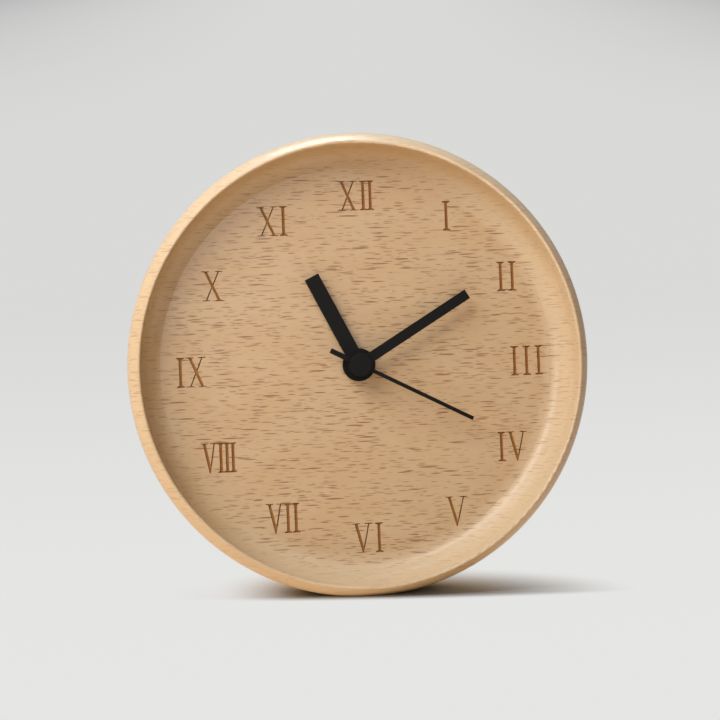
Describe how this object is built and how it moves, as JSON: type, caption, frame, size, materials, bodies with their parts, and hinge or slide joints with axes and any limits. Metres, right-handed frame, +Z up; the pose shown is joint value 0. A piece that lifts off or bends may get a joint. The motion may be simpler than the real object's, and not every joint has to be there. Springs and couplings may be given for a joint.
{
  "type": "desk clock",
  "caption": "Round turned wooden desk clock with a dished dial, engraved upright Roman numerals, flat black hands and a battery quartz movement in a back recess.",
  "frame": {"origin": "centre of the bounding box at the height of the foot, so the clock stands on the plane Z = 0", "axes": "+Z up, -Y toward the viewer of the dial, +X to the viewer's right; the dial leans back by 10 degrees"},
  "size_m": [0.12, 0.0588, 0.1175],
  "materials": {
    "beech": "bare sanded beech, silky",
    "shell_plastic": "matt black moulded plastic",
    "screw_steel": "zinc-plated steel",
    "plate_plastic": "natural moulded plastic",
    "wheel_plastic": "natural acetal",
    "arbor_steel": "ground steel",
    "pipe_brass": "turned brass",
    "magnet": "sintered magnet",
    "spring_bronze": "phosphor bronze sheet",
    "core_steel": "soft iron sheet",
    "bobbin_plastic": "moulded plastic",
    "copper_wire": "enamelled copper wire, wound",
    "board_laminate": "green solder mask on laminate",
    "chip_resin": "black potting resin",
    "crystal_can": "bright metal can",
    "contact_nickel": "nickel-plated spring sheet",
    "cell_jacket": "printed film over a metal can",
    "hand_black": "matt black lacquer on aluminium",
    "knob_plastic": "matt black moulded plastic"
  },
  "bodies": {
    "case": {"wooden_case": "beech", "movement_front_housing": "shell_plastic", "movement_rear_housing": "shell_plastic", "mounting_screws": "screw_steel", "middle_plate": "plate_plastic", "stator": "core_steel", "coil_core": "core_steel", "coil_bobbin": "bobbin_plastic", "coil_winding": "copper_wire", "circuit_board": "board_laminate", "control_chip": "chip_resin", "quartz_crystal": "crystal_can", "positive_contact": "contact_nickel", "negative_contact": "contact_nickel"},
    "seconds": {"second_arbor": "arbor_steel", "second_wheel": "wheel_plastic", "second_hand": "hand_black", "hub_cap": "hand_black"},
    "third": {"third_wheel": "wheel_plastic"},
    "intermediate": {"intermediate_wheel": "wheel_plastic"},
    "rotor": {"rotor_pinion": "wheel_plastic", "rotor_magnet": "magnet"},
    "minutes": {"minute_pipe": "pipe_brass", "centre_wheel": "wheel_plastic", "clutch_spring": "spring_bronze", "minute_hand": "hand_black"},
    "reverse": {"reverse_wheel": "wheel_plastic", "setting_knob": "knob_plastic"},
    "hours": {"hour_wheel": "wheel_plastic", "hour_hand": "hand_black"},
    "cell": {"battery_cell": "cell_jacket"}
  },
  "joints": [
    {"name": "second_hand_spin", "type": "hinge", "parent": "case", "child": "seconds", "pos_m": [0, -0.0105, 0.05758], "axis": [0, 0.9848, -0.1736], "continuous": true},
    {"name": "intermediate_wheel_spin", "type": "hinge", "parent": "case", "child": "intermediate", "pos_m": [0, 0.00495, 0.06168], "axis": [0, 0.9848, -0.1736], "continuous": true},
    {"name": "rotor_spin", "type": "hinge", "parent": "case", "child": "rotor", "pos_m": [0, 0.00468, 0.06709], "axis": [0, 0.9848, -0.1736], "continuous": true},
    {"name": "third_wheel_spin", "type": "hinge", "parent": "case", "child": "third", "pos_m": [0.00918, 0.00162, 0.05544], "axis": [0, 0.9848, -0.1736], "continuous": true},
    {"name": "minute_hand_spin", "type": "hinge", "parent": "case", "child": "minutes", "pos_m": [0, -0.0105, 0.05758], "axis": [0, 0.9848, -0.1736], "continuous": true},
    {"name": "setting_knob_spin", "type": "hinge", "parent": "case", "child": "reverse", "pos_m": [-0.0096, -0.00222, 0.05612], "axis": [0, 0.9848, -0.1736], "continuous": true},
    {"name": "hour_hand_spin", "type": "hinge", "parent": "case", "child": "hours", "pos_m": [0, -0.0105, 0.05758], "axis": [0, 0.9848, -0.1736], "continuous": true},
    {"name": "battery_slide", "type": "slide", "parent": "case", "child": "cell", "axis": [0, 0.9848, -0.1736], "range_m": [0, 0.03]}
  ],
  "couplings": [
    {"joint": "intermediate_wheel_spin", "follows": "second_hand_spin", "ratio": -6},
    {"joint": "rotor_spin", "follows": "second_hand_spin", "ratio": 30},
    {"joint": "third_wheel_spin", "follows": "second_hand_spin", "ratio": -0.13333},
    {"joint": "minute_hand_spin", "follows": "second_hand_spin", "ratio": 0.016667},
    {"joint": "setting_knob_spin", "follows": "second_hand_spin", "ratio": -0.0055556},
    {"joint": "hour_hand_spin", "follows": "second_hand_spin", "ratio": 0.0013889}
  ]
}
